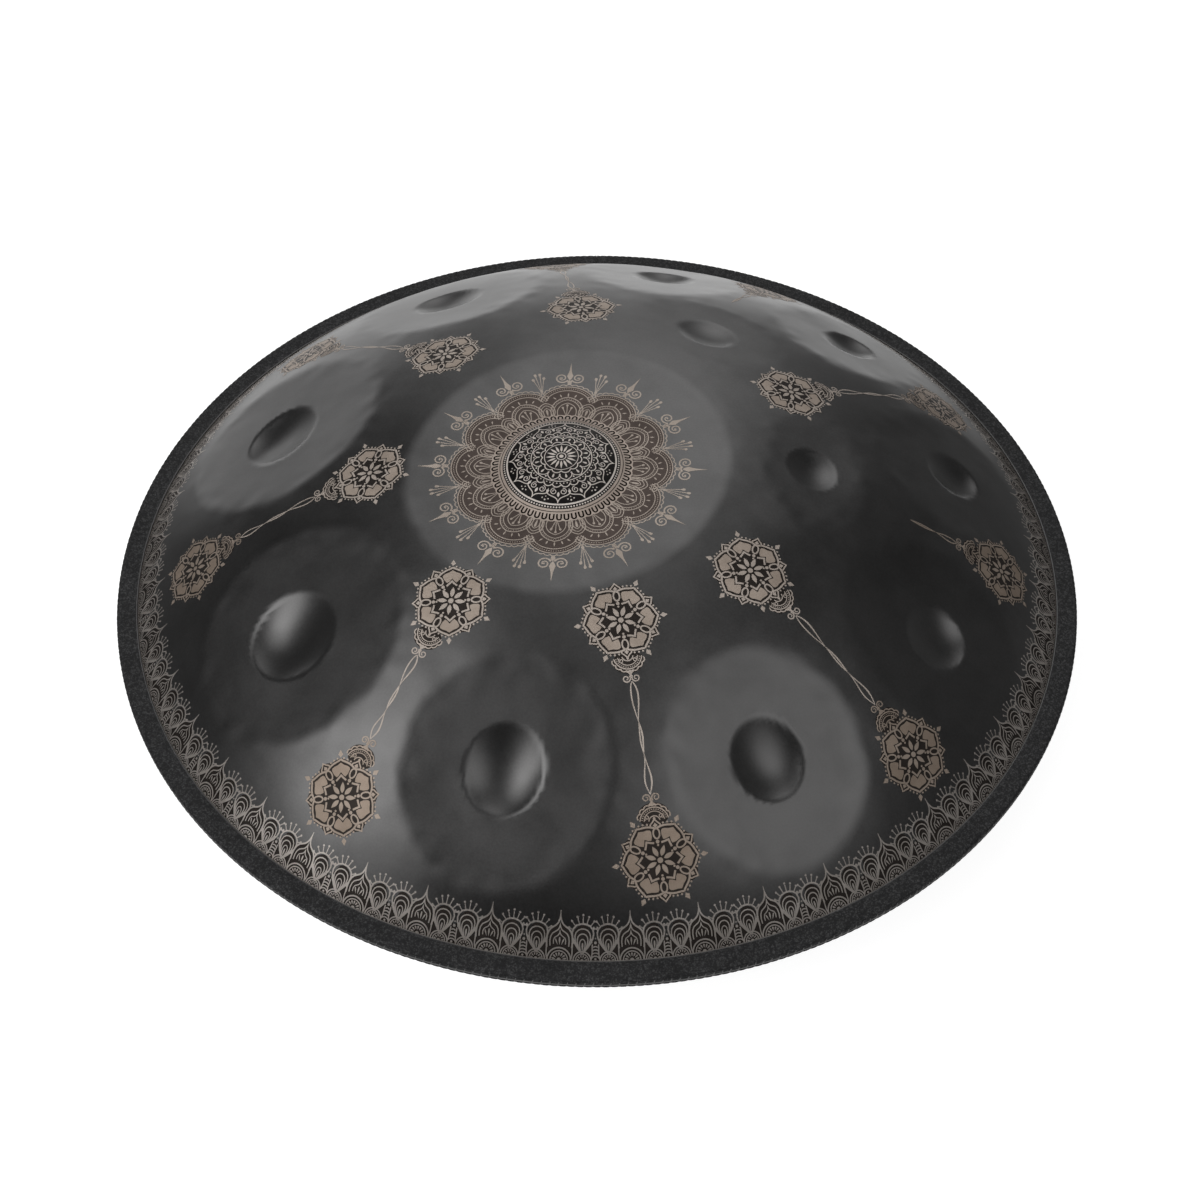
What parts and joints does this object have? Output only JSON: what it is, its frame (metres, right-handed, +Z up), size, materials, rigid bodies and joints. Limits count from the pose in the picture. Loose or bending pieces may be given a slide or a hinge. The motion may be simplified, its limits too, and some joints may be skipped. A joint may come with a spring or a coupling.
{
  "type": "handpan",
  "caption": "Handpan: two domed steel shells bonded at the rim, flattened tone fields with pressed hollows round a raised centre note, port neck below, stitched leather rim band.",
  "frame": {"origin": "centre of the flat rest ring round the port mouth, at the bottom of the instrument", "axes": "+Z up through the shells, towards the notes; -Y towards the player's side as the picture shows it; +X to the viewer's right"},
  "size_m": [0.5623, 0.5624, 0.2258],
  "materials": {
    "note_steel": "heat-blackened nitrided steel, satin, softly mottled, with pale etched ornament",
    "bowl_steel": "heat-blackened nitrided steel, satin",
    "adhesive": "cured epoxy, matte",
    "rubber": "black rubber, matte",
    "leather": "charcoal grained leather, matte",
    "thread": "waxed sewing thread"
  },
  "bodies": {
    "root": {"top_shell": "note_steel", "bottom_shell": "bowl_steel", "flange_adhesive": "adhesive", "rim_rubber_channel": "rubber", "rim_leather_upper": "leather", "rim_leather_lower": "leather", "rim_seam_cord": "thread"}
  },
  "joints": []
}
